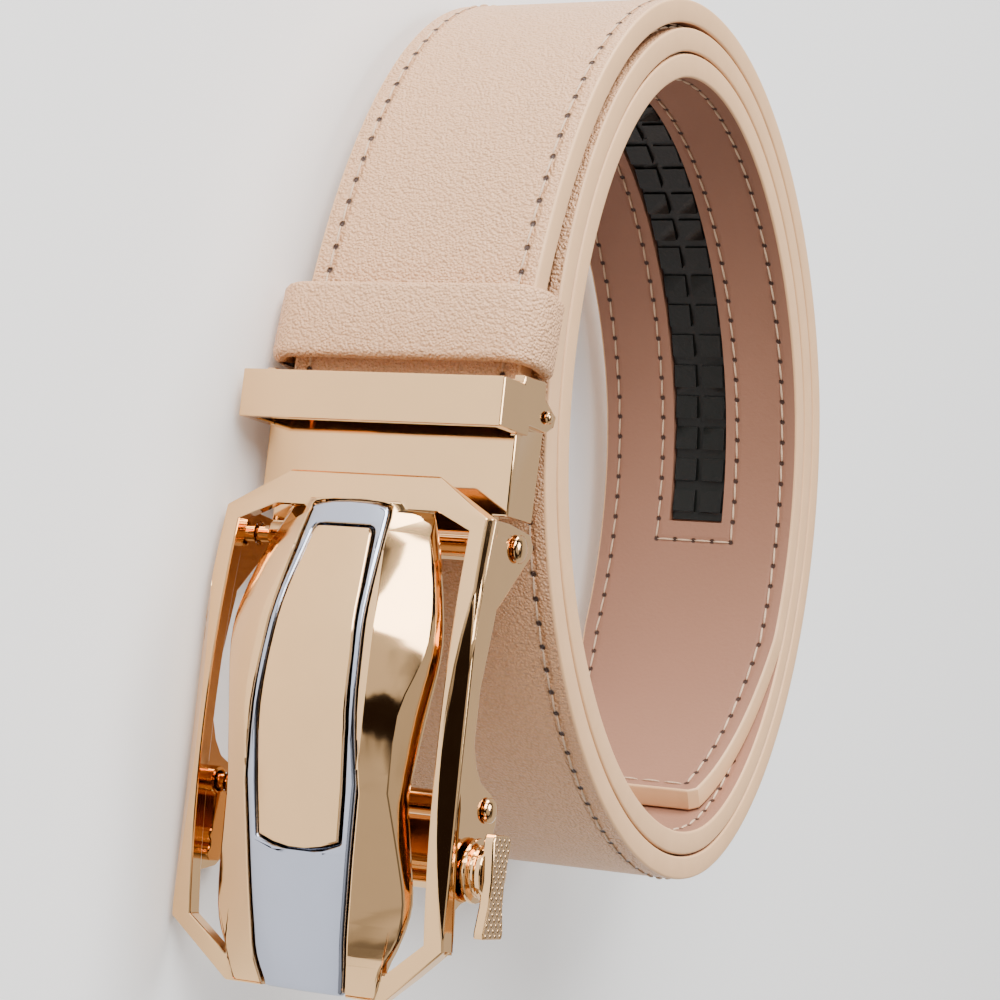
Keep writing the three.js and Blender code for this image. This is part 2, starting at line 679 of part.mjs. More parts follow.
function bodyRing(row) {
  const x = row.at * FRAME_LENGTH;
  const lowest = -row.footRise * BODY_RISE;
  const under = Math.min(Math.max(lowest + BODY_EDGE, BODY_WALL - rimRise(x)), TAIL_FACE);
  const foot = Math.min(lowest, under - BODY_EDGE / 4);
  const ridge = Math.min(-row.ridgeRise * BODY_RISE, foot - BODY_EDGE / 4);
  const half = [
    [under, row.foot * FRAME_HALF],
    [foot, row.foot * FRAME_HALF],
    [ridge, row.ridge * FRAME_HALF],
    [-row.inlayRise * BODY_RISE, row.inlay * FRAME_HALF],
  ];
  return [...half.map(([y, z]) => [x, y, z]), ...half.map(([y, z]) => [x, y, -z]).reverse()];
}

// A slab that follows the crowned middle of the body, from a height over it to a depth
// under it, wider than the inlay by grow at each side
function crownSlab(over, under, grow, crown = INLAY_CROWN) {
  const across = [-1, -0.5, 0, 0.5, 1];
  const rings = BODY_ROWS.map((row) => {
    const x = row.at * FRAME_LENGTH;
    const half = row.inlay * FRAME_HALF + grow;
    const rise = row.inlayRise * BODY_RISE;
    const top = across.map((share) => [x, -rise - over - crown * (1 - share ** 2), half * share]);
    return [...top, [x, under - rise, half], [x, under - rise, -half]].reverse();
  });
  const stretch = (ring, x) => ring.map(([, y, z]) => [x, y, z]);
  rings[0] = stretch(rings[0], 0);
  rings[rings.length - 1] = stretch(rings[rings.length - 1], FRAME_LENGTH);
  return loft(rings);
}

// The cutters through the buckle reach this far in front of its face and behind it
const CUTTER_FRONT = 30;
const CUTTER_BACK = 10;

// Plan of the inlay as a cutter along Y: its upper end is rounded
function inlayPlan(grow) {
  const half = along(BODY, 'at', 'inlay', INLAY_TOP / FRAME_LENGTH) * FRAME_HALF;
  const points = [];
  for (let i = 0; i <= 8; i += 1) {
    const turn = Math.PI / 8 * i - Math.PI / 2;
    points.push([INLAY_TOP + 0.9 * (1 - Math.cos(turn)) - grow, (half + 0.3 + grow) * Math.sin(turn)]);
  }
  const end = FRAME_LENGTH + 1;
  return prismY([...points, [end, FRAME_HALF / 2], [end, -FRAME_HALF / 2]].reverse(), -CUTTER_FRONT, CUTTER_BACK);
}

// Plan of the insert, larger by grow: straight sides by the table, a bulging lower edge
function insertPlan(grow) {
  const places = [INSERT_TOP, ...INSERT.slice(1, -1).map(({ at }) => at * FRAME_LENGTH), INSERT_FOOT];
  const halfAt = (x) => along(INSERT, 'at', 'half', x / FRAME_LENGTH) * FRAME_HALF + grow;
  const side = places.map((x, i) => {
    const out = i === 0 ? -grow : i === places.length - 1 ? grow : 0;
    return [x + out, halfAt(x)];
  });
  side[0][1] -= 0.5;
  side.splice(1, 0, [INSERT_TOP - grow + 0.6, halfAt(INSERT_TOP)]);
  const footHalf = halfAt(INSERT_FOOT);
  const foot = [0.6, 0.2, -0.2, -0.6].map((share) => [
    INSERT_FOOT + grow + INSERT_FOOT_BULGE * (1 - share ** 2), footHalf * share]);
  const other = side.map(([x, z]) => [x, -z]).reverse();
  return prismY([...side, ...foot, ...other], -CUTTER_FRONT, CUTTER_BACK);
}

const INLAY_SEAT = INLAY_THICKNESS + CLEARANCE;

function buckleFrame() {
  const opening = prismY(outlinePoints(OPENING), -CUTTER_FRONT, CUTTER_FRONT);
  let shape = frameBlank().subtract(behindRim(RIM_DEPTH)).subtract(opening);
  shape = shape.add(flange(1)).add(flange(-1)).intersect(sideSection());
  shape = shape.add(loft(BODY_ROWS.map(bodyRing)));
  const channel = crownSlab(INLAY_SEAT, INLAY_SEAT, CLEARANCE, 0).intersect(inlayPlan(CLEARANCE));
  shape = shape.subtract(channel);
  const reach = FRAME_HALF + 2;
  shape = shape.subtract(barZ(HINGE_BELOW_TOP, HINGE_DEPTH, BORE, -reach, reach));
  shape = shape.subtract(barZ(PAWL_PIN_BELOW_TOP, PAWL_PIN_DEPTH, PAWL_PIN_RADIUS + CLEARANCE, -reach, reach, 20));
  return shape.subtract(barZ(LEVER_BELOW_TOP, LEVER_DEPTH, LEVER_SHAFT_RADIUS + CLEARANCE, 0, reach, 20));
}

function silverInlay() {
  const pocket = crownSlab(INLAY_SEAT, INSERT_THICKNESS + CLEARANCE, 1, 0).intersect(insertPlan(CLEARANCE));
  return crownSlab(0, INLAY_THICKNESS, 0).intersect(inlayPlan(0)).subtract(pocket);
}

function goldInsert() {
  return crownSlab(0, INSERT_THICKNESS, 0).intersect(insertPlan(0));
}

// Pawl and lever

// The bar that bites into the track, turning on its pin at its upper end
function pawl() {
  const half = FLANGE_INNER - PAWL_SIDE_GAP;
  const [x, y] = [PAWL_PIN_BELOW_TOP, PAWL_PIN_DEPTH];
  const face = y - 0.6;
  const back = face + PAWL_HEIGHT - 0.2;
  const end = x - PAWL_BARREL + PAWL_LENGTH;
  const side = [
    [x, face], [end - 4.2, face], [end - 3.4, face - 0.7], [end - 2.6, face], [end - 1.8, face],
    [end - 1, face - 0.7], [end, face + 0.3], [end, back - 0.8], [end - 2.2, back], [x, back],
  ];
  const bar = prismZ(side, -half, half).add(barZ(x, y, PAWL_BARREL, -half, half));
  return bar.subtract(barZ(x, y, PAWL_PIN_RADIUS + CLEARANCE, -half - 1, half + 1, 20));
}

// Stepped boss on a short shaft through the flange, with a waisted paddle on it
function releaseLever() {
  const seat = FRAME_HALF + CLEARANCE + 0.15;
  const inside = FLANGE_INNER - CLEARANCE;
  const top = seat + LEVER_BOSS_HEIGHT;
  const [shaft, boss] = [LEVER_SHAFT_RADIUS, LEVER_BOSS_RADIUS];
  const profile = [
    [0, inside - 0.7], [shaft + 0.7, inside - 0.7], [shaft + 0.7, inside], [shaft, inside],
    [shaft, seat], [boss, seat], [boss, seat + 0.7], [boss * 0.8, seat + 0.9],
    [boss * 0.8, seat + 1.6], [boss * 0.93, seat + 1.8], [boss * 0.93, top + 0.2], [0, top + 0.2],
  ].map(([r, z]) => new THREE.Vector2(r, z));
  const turned = new THREE.LatheGeometry(profile, 24).rotateX(Math.PI / 2).translate(LEVER_BELOW_TOP, LEVER_DEPTH, 0);
  const start = LEVER_BELOW_TOP - PADDLE_LENGTH * 0.37;
  const middle = LEVER_DEPTH - 1;
  const edge = PADDLE.map(({ along: place, edge: share }) => [
    start + place * PADDLE_LENGTH, share * PADDLE_WIDTH / 2]);
  const plan = [...edge.map(([x, y]) => [x, middle - y]), ...edge.map(([x, y]) => [x, middle + y]).reverse()];
  return solid(turned).add(prismZ(plan, top, top + PADDLE_THICKNESS));
}

const GOLD = { color: 0xe0b596, roughness: 0.12, metalness: 1 };
const LEATHER = { color: 0xdcc0a6, roughness: 0.6, metalness: 0 };
const SILVER = { color: 0xb4bacb, roughness: 0.2, metalness: 1 };
const RUBBER = { color: 0x20221f, roughness: 0.5, metalness: 0 };

const PIN_SEAT = FRAME_HALF + CLEARANCE;

const PIECES = [
  { name: 'strap', shape: strap(), finish: LEATHER },
  { name: 'ratchet_track', shape: ratchetTrack(), finish: RUBBER },
  { name: 'keeper_loop', shape: keeperLoop(), finish: LEATHER },
  { name: 'strap_clamp', shape: strapClamp(), finish: GOLD },
  { name: 'clamp_flap', shape: clampFlap(), finish: GOLD },
  {
    name: 'flap_pin',
    shape: rivet(-FLAP_PIN_ABOVE_FRAME, FLAP_PIN_DEPTH, FLAP_PIN_RADIUS, FLAP_PIN_HEAD, 0.5, EAR_HALF + CLEARANCE),
    finish: GOLD,
  },
  {
    name: 'hinge_pin',
    shape: rivet(HINGE_BELOW_TOP, HINGE_DEPTH, PIN_RADIUS, PIN_HEAD_RADIUS, PIN_HEAD_HEIGHT, PIN_SEAT),
    finish: GOLD,
  },
  { name: 'buckle_frame', shape: buckleFrame(), finish: GOLD },
  { name: 'silver_inlay', shape: silverInlay(), finish: SILVER },
  { name: 'gold_insert', shape: goldInsert(), finish: GOLD },
  {
    name: 'pawl_pin',
    shape: rivet(PAWL_PIN_BELOW_TOP, PAWL_PIN_DEPTH, PAWL_PIN_RADIUS, PAWL_PIN_HEAD, PIN_HEAD_HEIGHT, PIN_SEAT),
    finish: GOLD,
  },
  { name: 'pawl', shape: pawl(), finish: GOLD },
  { name: 'release_lever', shape: releaseLever(), finish: GOLD },
];

const belt = new THREE.Group();
for (const { name, shape, finish } of PIECES) {
  const mesh = new THREE.Mesh(geometryOf(shape), new THREE.MeshStandardMaterial(finish));
  mesh.name = name;
  belt.add(mesh);
}

// The group is moved so that its origin lies under the middle of the belt
const bounds = new THREE.Box3().setFromObject(belt);
const centre = bounds.getCenter(new THREE.Vector3());
belt.position.set(-centre.x, -centre.y, -bounds.min.z);

export default belt;
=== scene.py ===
import math

import bpy
import numpy as np
from mathutils import Matrix, Vector


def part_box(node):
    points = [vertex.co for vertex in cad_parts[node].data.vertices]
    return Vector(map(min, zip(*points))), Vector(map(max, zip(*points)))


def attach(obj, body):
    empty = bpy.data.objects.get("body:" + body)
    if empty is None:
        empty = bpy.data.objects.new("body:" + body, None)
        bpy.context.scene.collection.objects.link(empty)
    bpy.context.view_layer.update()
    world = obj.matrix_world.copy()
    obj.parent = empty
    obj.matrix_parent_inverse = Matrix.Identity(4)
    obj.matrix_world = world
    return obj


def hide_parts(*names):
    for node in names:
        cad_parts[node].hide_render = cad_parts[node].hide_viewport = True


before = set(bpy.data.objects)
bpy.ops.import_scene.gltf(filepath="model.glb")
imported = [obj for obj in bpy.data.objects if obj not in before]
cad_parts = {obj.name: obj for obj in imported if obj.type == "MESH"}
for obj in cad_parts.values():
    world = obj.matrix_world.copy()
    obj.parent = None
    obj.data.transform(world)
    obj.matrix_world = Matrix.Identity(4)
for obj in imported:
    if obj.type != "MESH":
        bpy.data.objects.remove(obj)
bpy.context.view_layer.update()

bl_info = {
    "name": "Ratchet belt",
    "version": (1, 0, 0),
    "blender": (4, 5, 0),
    "location": "View3D > Sidebar > Belt",
    "description": "Dresses a rolled ratchet belt: leather, stitching, track and polished buckle",
    "category": "Object",
}

MM = 0.001

# The buckle's own corner of the frame: the middle of its top edge, on its front face
FRAME_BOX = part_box("buckle_frame")
TOP_BEVEL = 2.84 * MM
FLANGE_DEPTH = 12.5 * MM
BUCKLE = Vector((FRAME_BOX[0][0] + TOP_BEVEL, FRAME_BOX[1][1] - FLANGE_DEPTH,
                 (FRAME_BOX[0][2] + FRAME_BOX[1][2]) / 2))

# The strap and its roll, as the solid strap has them
STRAP_FACE = 8.7 * MM
STRAP_END = 0.5 * MM
CLAMP_LENGTH = 17 * MM
TURN_GAP = 0.35 * MM
ROLL_HALF_LENGTH = 69.1 * MM
ROLL_HALF_DEPTH = 56.1 * MM
ROLL_ROUNDNESS = 1.894
ROLL_TURN = math.radians(18.1)
ROLL_CENTRE = (-16.8 * MM, 70.72 * MM)
JOIN_ANGLE = 109.7
TIP_ANGLE = 984.0
ANGLE_STEP = 0.5
LEAVING_HANDLE = 0.1
JOINING_HANDLE = 0.56
TAPER_LENGTH = 37 * MM
TIP_HALF = 14 * MM
TIP_CORNER = 1.4 * MM
TIP_BLUNTNESS = 0.98

# Track and its slot, back from the strap's tip
TRACK_FROM_TIP = 53.5 * MM
TRACK_LENGTH = 240 * MM
SLOT_HALF = 4.8 * MM
SLOT_DEPTH = 1.5 * MM
SLOT_SEAM = 6.8 * MM
SLOT_END_SEAM = 3.5 * MM

# One stitch: its length, height and width, how far it lies proud, and its needle hole
THREAD_LENGTH = 3.1 * MM
THREAD_HEIGHT = 0.34 * MM
THREAD_WIDTH = THREAD_HEIGHT * 1.1
THREAD_PROUD = THREAD_HEIGHT * 0.3
THREAD_BEND = THREAD_HEIGHT * 0.4
STITCH_SLANT = math.radians(3)
HOLE_HALF_LENGTH = 0.5 * MM
HOLE_HALF_WIDTH = 0.45 * MM
GROOVE_FULL = 0.25 * MM
GROOVE_NONE = 0.9 * MM
SEAM_MARGIN = 0.3 * MM
TIP_ROW_INSET = 0.8
# Painted shade: the near-black colours given to the needle holes of the outer face and of the lining
OUTER_HOLE_SHADE = (0.045, 0.016, 0.007, 1)
LINING_HOLE_SHADE = (0.04, 0.014, 0.007, 1)

KNURL_PITCH = 0.95 * MM
KEEPER_ROUNDING = 0.95 * MM
MERGE_DISTANCE = 0.01 * MM

# Name, place, size in metres and power in watts of each soft light
LIGHTS = [
    ("key", (-0.66, -0.78, 0.64), 0.75, 21),
    ("side", (-1.3, -0.1, 0.5), 0.7, 24),
    ("top", (-0.3, 0.25, 1.2), 0.5, 9),
    ("fill", (0.7, -0.9, 0.6), 0.8, 0.4),
]
DARK_GAP = (0.02, 0.012, 0.008, 1)
LIGHT_WALL = (1.0, 0.97, 0.93, 1)

# The photograph's camera: where it stands, its view along and its up, in the frame
CAMERA_PLACE = Vector((44.41, -361.30, 197.11)) * MM
CAMERA_ALONG = Vector((-0.10251, 0.88578, -0.45267))
CAMERA_UP = Vector((-0.98922, -0.13869, -0.04736))
CAMERA_LENS = 96.16


class BeltSizes(bpy.types.PropertyGroup):
    width: bpy.props.FloatProperty(
        name="Strap width", description="Width of the strap",
        default=35 * MM, unit="LENGTH")
    thickness: bpy.props.FloatProperty(
        name="Strap thickness", description="Thickness of the strap",
        default=3.5 * MM, unit="LENGTH")
    edge_round: bpy.props.FloatProperty(
        name="Edge rounding", description="Radius of the painted edge",
        default=0.36 * MM, unit="LENGTH")
    stitch_pitch: bpy.props.FloatProperty(
        name="Stitch pitch", description="Length of one stitch and its hole",
        default=3.65 * MM, unit="LENGTH")
    stitch_inset: bpy.props.FloatProperty(
        name="Stitch inset", description="Seam's distance from the edge",
        default=2.6 * MM, unit="LENGTH")
    step: bpy.props.FloatProperty(
        name="Mesh step", description="Length of one row of the strap's mesh",
        default=1.3 * MM, unit="LENGTH")
    metal_edge: bpy.props.FloatProperty(
        name="Metal edge", description="Rounding of the polished edges",
        default=0.22 * MM, unit="LENGTH")


class BeltColours(bpy.types.PropertyGroup):
    leather: bpy.props.FloatVectorProperty(
        name="Leather", description="Colour of the grained outer face",
        default=(0.82, 0.46, 0.245), subtype="COLOR", min=0, max=1)
    # The lining: its own pinker tone, darkened further as painted shade for the inside of the roll
    lining: bpy.props.FloatVectorProperty(
        name="Lining", description="Colour of the smooth inner face",
        default=(0.35, 0.165, 0.10), subtype="COLOR", min=0, max=1)
    edge: bpy.props.FloatVectorProperty(
        name="Edge", description="Colour of the painted edge",
        default=(0.80, 0.475, 0.245), subtype="COLOR", min=0, max=1)
    thread: bpy.props.FloatVectorProperty(
        name="Thread", description="Colour of the sewing thread",
        default=(0.76, 0.53, 0.35), subtype="COLOR", min=0, max=1)
    gold: bpy.props.FloatVectorProperty(
        name="Gold", description="Colour of the pale gold plating",
        default=(0.80, 0.495, 0.24), subtype="COLOR", min=0, max=1)
    silver: bpy.props.FloatVectorProperty(
        name="Silver", description="Colour of the cool silver plating",
        default=(0.42, 0.45, 0.55), subtype="COLOR", min=0, max=1)
    track: bpy.props.FloatVectorProperty(
        name="Track", description="Colour of the moulded track",
        default=(0.006, 0.007, 0.006), subtype="COLOR", min=0, max=1)


class Tone:
    """A number that varies over a surface, with plain arithmetic on it."""

    def __init__(self, finish, socket):
        self.finish = finish
        self.socket = socket

    def act(self, operation, *values):
        """One Math node on these values."""
        return self.finish.add("ShaderNodeMath", {"operation": operation}, dict(enumerate(values)))

    def __add__(self, other):
        return self.act("ADD", self, other)

    def __radd__(self, other):
        return self.act("ADD", other, self)

    def __sub__(self, other):
        return self.act("SUBTRACT", self, other)

    def __rsub__(self, other):
        return self.act("SUBTRACT", other, self)

    def __mul__(self, other):
        return self.act("MULTIPLY", self, other)

    def __rmul__(self, other):
        return self.act("MULTIPLY", other, self)

    def __truediv__(self, other):
        return self.act("DIVIDE", self, other)

    def __rtruediv__(self, other):
        return self.act("DIVIDE", other, self)

    def __abs__(self):
        return self.act("ABSOLUTE", self)

    def __lt__(self, other):
        return self.act("LESS_THAN", self, other)

    def __gt__(self, other):
        return self.act("GREATER_THAN", self, other)

    def most(self, other):
        """The larger of two numbers."""
        return self.act("MAXIMUM", self, other)

    def wave_place(self, pitch):
        """How far the number is from the nearest whole pitch."""
        return self.act("PINGPONG", self, pitch / 2)

    def fade(self, full, none):
        """1 at full, falling smoothly to 0 at none."""
        node = self.finish.node("ShaderNodeMapRange", {"interpolation_type": "SMOOTHSTEP"},
                                {0: self, 1: full, 2: none, 3: 1.0, 4: 0.0})
        return Tone(self.finish, node.outputs[0])


class Nodes:
    """A node tree whose nodes are added by type, settings and sockets."""

    def __init__(self, tree):
        self.tree = tree

    def node(self, kind, settings, values):
        """A new node: its settings first, then the values or links of its sockets."""
        node = self.tree.nodes.new(kind)
        for key, value in settings.items():
            setattr(node, key, value)
        for key, value in values.items():
            if isinstance(value, Tone):
                value = value.socket
            if isinstance(value, bpy.types.NodeSocket):
                self.tree.links.new(value, node.inputs[key])
            else:
                node.inputs[key].default_value = value
        return node

    def add(self, kind, settings, values):
        """A new node's first output, as a number."""
        return Tone(self, self.node(kind, settings, values).outputs[0])

    def places(self, kind="Object"):
        """Texture coordinates of one kind."""
        return self.tree.nodes.new("ShaderNodeTexCoord").outputs[kind]

    def split(self, vector):
        parts = self.node("ShaderNodeSeparateXYZ", {}, {0: vector})
        return [Tone(self, socket) for socket in parts.outputs]

    def noise(self, scale, detail=3.0, where=None):
        values = {"Vector": where or self.places(), "Scale": scale, "Detail": detail, "Roughness": 0.5}
        return self.add("ShaderNodeTexNoise", {}, values)

    def soft_cells(self, scale, smoothness):
        values = {"Vector": self.places(), "Scale": scale, "Smoothness": smoothness}
        return self.add("ShaderNodeTexVoronoi", {"feature": "SMOOTH_F1"}, values)

    def blend(self, amount, first, second):
        """A colour between two, with a Mix node, as a link."""
        node = self.node("ShaderNodeMix", {"data_type": "RGBA", "blend_type": "MIX"},
                         {0: amount, 6: first, 7: second})
        return node.outputs[2]


class Finish(Nodes):
    """A material, with its main colour and gloss on the shader's own sockets."""

    def __init__(self, name, colour, roughness, metallic=0.0):
        self.material = bpy.data.materials.new(name)
        self.material.use_nodes = True
        self.material.diffuse_color = (*colour, 1)
        super().__init__(self.material.node_tree)
        self.shader = self.tree.nodes["Principled BSDF"]
        self.shader.inputs["Base Color"].default_value = (*colour, 1)
        self.shader.inputs["Roughness"].default_value = roughness
        self.shader.inputs["Metallic"].default_value = metallic
        self.colour = (*colour, 1)

    def along_across(self):
        """Distance along the strap and across it, in metres, from its flat lay."""
        return self.split(self.node("ShaderNodeUVMap", {"uv_map": "lay"}, {}).outputs[0])[:2]

    def paint(self, colour):
        self.tree.links.new(colour, self.shader.inputs["Base Color"])

    def rough(self, tone):
        self.tree.links.new(tone.socket, self.shader.inputs["Roughness"])

    def emboss(self, height, depth):
        """Relief of the surface: where height is 1 it stands out by depth, in metres."""
        node = self.node("ShaderNodeBump", {}, {"Height": height, "Distance": depth, "Strength": 1.0})
        self.tree.links.new(node.outputs[0], self.shader.inputs["Normal"])


def darker(colour, share):
    """A colour with its parts scaled down, as RGBA."""
    return (*(part * share for part in colour[:3]), 1)


def sizes():
    """The belt's sizes, as the panel shows them."""
    return bpy.context.scene.belt_sizes


def colours():
    """The belt's colours, as the panel shows them."""
    return bpy.context.scene.belt_colours


# Finishes


def polished_plate(name, colour, roughness, knurled=False):
    """Mirror plating with the faint waviness and haze of a cast, polished part."""
    finish = Finish(name, colour, roughness, metallic=1.0)
    haze = finish.noise(260, 4.0)
    finish.rough(haze * 0.06 + (roughness - 0.02))
    finish.paint(finish.blend(haze, finish.colour, darker(finish.colour, 0.94)))
    if knurled:
        x, y, _ = finish.split(finish.places())
        dots = [((x + y * sign) * math.sqrt(0.5)).wave_place(KNURL_PITCH) / (KNURL_PITCH / 2)
                for sign in (1, -1)]
        finish.emboss(dots[0] * dots[1], 0.45 * MM)
    else:
        finish.emboss(finish.noise(90, 2.0), 0.04 * MM)
    return finish.material


def seam_holes(finish, along, across, inset_line, pitch):
    """Masks of the needle holes between stitches and of the shallow groove that they lie in.

    The seam runs inset_line to each side of the strap's middle, with a hole at every pitch.
    """
    beside = abs(abs(across) - inset_line)
    groove = beside.fade(GROOVE_FULL, GROOVE_NONE)
    near_end = along.wave_place(pitch) / HOLE_HALF_LENGTH
    near_line = beside / HOLE_HALF_WIDTH
    reach = near_end * near_end + near_line * near_line
    return reach.fade(0.35, 1.3), groove


def grained_leather(seams=True):
    """Pebbled light leather with slightly uneven dye, painted shade in the crevices between its
    pebbles, and its needle holes, painted near black as their shade, where it is sewn.
    """
    finish = Finish("leather_outer" if seams else "leather_keeper", colours().leather, 0.5)
    pebbles = finish.soft_cells(2500, smoothness=0.5)
    creases = finish.noise(1300, 4.0)
    dye = finish.noise(45, 4.0)
    light = finish.blend(dye, finish.colour, darker(finish.colour, 0.9))
    # Painted shade: darker towards the edges of the pebbles, in the crevices that the relief sinks
    grain_with_painted_shade = finish.blend(pebbles * 0.75, light, darker(finish.colour, 0.66))
    height = creases * 0.5 - pebbles * 0.8
    if seams:
        along, across = finish.along_across()
        seam = sizes().width / 2 - sizes().stitch_inset
        holes, groove = seam_holes(finish, along, across, seam, sizes().stitch_pitch)
        # The needle holes painted near black, as painted shade inside them
        grain_with_painted_shade = finish.blend(holes, grain_with_painted_shade, OUTER_HOLE_SHADE)
        height = height - holes * 2.2 - groove * 0.7
    finish.paint(grain_with_painted_shade)
    finish.rough(pebbles * 0.3 + 0.3)
    finish.emboss(height, 0.45 * MM)
    return finish.material


def smooth_lining():
    """Smooth pinkish lining, its colour darkened as painted shade of the roll's inside, with fine
    pores and the seams of strap and track.
    """
    finish = Finish("leather_lining", colours().lining, 0.62)
    along, across = finish.along_across()
    seam = sizes().width / 2 - sizes().stitch_inset
    pitch = sizes().stitch_pitch
    holes, groove = seam_holes(finish, along, across, seam, pitch)
    low, high = slot_ends(*outer_line())
    high += SLOT_END_SEAM
    beyond = along - high
    within = (beyond < SEAM_MARGIN) * (along > low)
    side_holes, side_groove = seam_holes(finish, beyond, across, SLOT_SEAM, pitch)
    end_holes, end_groove = seam_holes(finish, across, beyond, 0, SLOT_SEAM / 2)
    inside = abs(across) < SLOT_SEAM + SEAM_MARGIN
    holes = holes.most(side_holes * within).most(end_holes * inside)
    groove = groove.most(side_groove * within).most(end_groove * inside)
    pores = finish.noise(1600, 3.0)
    cloud = finish.noise(60, 4.0)
    tone = finish.blend(cloud, finish.colour, darker(finish.colour, 0.88))
    tone = finish.blend(pores * 0.3, tone, darker(finish.colour, 0.8))
    # The needle holes painted near black, as painted shade inside them
    finish.paint(finish.blend(holes, tone, LINING_HOLE_SHADE))
    finish.emboss(pores * 0.4 - holes * 2.0 - groove * 0.6, 0.12 * MM)
    return finish.material


def painted_edge():
    """The burnished, painted edge of the strap: smooth, a little glossy, faintly streaked."""
    finish = Finish("leather_edge", colours().edge, 0.42)
    streaks = finish.noise(240, 4.0)
    finish.paint(finish.blend(streaks, finish.colour, darker(finish.colour, 0.86)))
    finish.rough(streaks * 0.2 + 0.34)
    finish.emboss(streaks, 0.08 * MM)
    return finish.material


def sewing_thread():
    """Light thread with its twist as fine darker flecks."""
    finish = Finish("thread", colours().thread, 0.7)
    twist = finish.noise(4200, 2.0)
    finish.paint(finish.blend(twist, finish.colour, darker(finish.colour, 0.7)))
    finish.emboss(twist, 0.12 * MM)
    return finish.material


def moulded_track():
    """Near black moulded plastic with a satin skin."""
    finish = Finish("track_plastic", colours().track, 0.38)
    skin = finish.noise(1800, 3.0)
    finish.shader.inputs["Specular IOR Level"].default_value = 0.35
    finish.rough(skin * 0.25 + 0.26)
    finish.emboss(skin, 0.05 * MM)
    return finish.material


# The strap's path, in the plane of the roll


def roll_point(angle):
    """A point of the strap's outer face at a winding angle, in degrees."""
    inward = (sizes().thickness + TURN_GAP) * angle / 360
    turn = math.radians(angle)

    def rounded(value):
        return math.copysign(abs(value) ** (2 / ROLL_ROUNDNESS), value)

    x = -(ROLL_HALF_LENGTH - inward) * rounded(math.sin(turn))
    y = -(ROLL_HALF_DEPTH - inward) * rounded(math.cos(turn))
    cosine, sine = math.cos(ROLL_TURN), math.sin(ROLL_TURN)
    return np.array([ROLL_CENTRE[0] + x * cosine - y * sine,
                     ROLL_CENTRE[1] + x * sine + y * cosine])


def running_length(points):
    """How far each point is from the first, along the line."""
    return np.concatenate([[0], np.cumsum(np.linalg.norm(np.diff(points, axis=0), axis=1))])


def outer_line():
    """Even steps along the strap's outer face, from its end in the clamp to its tip."""
    start = np.array([-CLAMP_LENGTH, STRAP_FACE])
    end = roll_point(JOIN_ANGLE)
    chord = np.linalg.norm(end - start)
    running = roll_point(JOIN_ANGLE + ANGLE_STEP) - end
    running /= np.linalg.norm(running)
    first = start + np.array([-chord * LEAVING_HANDLE, 0])
    second = end - running * chord * JOINING_HANDLE
    share = np.linspace(0, 1, 160)[:, None]
    leaving = ((1 - share) ** 3 * start + 3 * (1 - share) ** 2 * share * first
               + 3 * (1 - share) * share ** 2 * second + share ** 3 * end)
    angles = np.arange(JOIN_ANGLE + ANGLE_STEP, TIP_ANGLE + 0.01, ANGLE_STEP)
    rolled = np.array([roll_point(angle) for angle in angles])
    points = np.vstack([[(STRAP_END, STRAP_FACE)], leaving, rolled])
    lengths = running_length(points)
    count = round(lengths[-1] / sizes().step) + 1
    even = np.linspace(0, lengths[-1], count)
    line = np.column_stack([np.interp(even, lengths, points[:, axis]) for axis in (0, 1)])
    return line, even


def lining_place(line, even, from_tip):
    """Where a distance from the tip, measured on the lining, lies along the outer face."""
    inner = line + inward_normals(line) * sizes().thickness
    lengths = running_length(inner)
    return float(np.interp(lengths[-1] - from_tip, lengths, even))


def inward_normals(line):
    """Unit vectors from the outer face towards the lining."""
    tangent = np.gradient(line, axis=0)
    tangent /= np.linalg.norm(tangent, axis=1)[:, None]
    return np.column_stack([tangent[:, 1], -tangent[:, 0]])


def half_width(from_tip):
    """Half the strap's width at a distance from its tip."""
    half = sizes().width / 2
    taper = TIP_HALF + (half - TIP_HALF) * np.clip(from_tip / TAPER_LENGTH, 0, 1)
    missing = np.clip(1 - from_tip / TIP_CORNER, 0, 1)
    return taper - TIP_CORNER * (1 - np.sqrt(1 - missing ** 2 * TIP_BLUNTNESS))


def slot_ends(line, even):
    """The ends of the track's slot along the strap."""
    return (lining_place(line, even, TRACK_FROM_TIP + TRACK_LENGTH),
            lining_place(line, even, TRACK_FROM_TIP))


def to_frame(points):
    """Points in the buckle's own plane as points of the frame."""
    return points + np.array(BUCKLE)


# Making pieces


def lay_down():
    """Nothing selected and object mode, before the next piece."""
    if bpy.context.object and bpy.context.object.mode != "OBJECT":
        bpy.ops.object.mode_set(mode="OBJECT")
    bpy.ops.object.select_all(action="DESELECT")


def pick(obj):
    """This object alone selected and active."""
    lay_down()
    obj.select_set(True)
    bpy.context.view_layer.objects.active = obj


def rename(name):
    """The object just added, under its own name."""
    obj = bpy.context.object
    obj.name = name
    obj.data.name = name
    return obj


def apply_all(obj):
    """Its modifiers go into its mesh, in their order."""
    pick(obj)
    for modifier in list(obj.modifiers):
        bpy.ops.object.modifier_apply(modifier=modifier.name)


def soften(obj, angle=35):
    """Smooth shading, but creased where faces meet at more than the angle."""
    pick(obj)
    bpy.ops.object.shade_smooth_by_angle(angle=math.radians(angle))


def dress(obj, *materials):
    """These materials and no others."""
    obj.data.materials.clear()
    for material in materials:
        obj.data.materials.append(material)


def select_faces(obj, chosen):
    """Face selection by a list of true and false, then edit mode."""
    pick(obj)
    mesh = obj.data
    bpy.ops.object.mode_set(mode="EDIT")
    bpy.ops.mesh.select_mode(type="FACE")
    bpy.ops.object.mode_set(mode="OBJECT")
    mesh.vertices.foreach_set("select", np.zeros(len(mesh.vertices), dtype=bool))
    mesh.edges.foreach_set("select", np.zeros(len(mesh.edges), dtype=bool))
    mesh.polygons.foreach_set("select", np.asarray(chosen, dtype=bool))
    bpy.ops.object.mode_set(mode="EDIT")


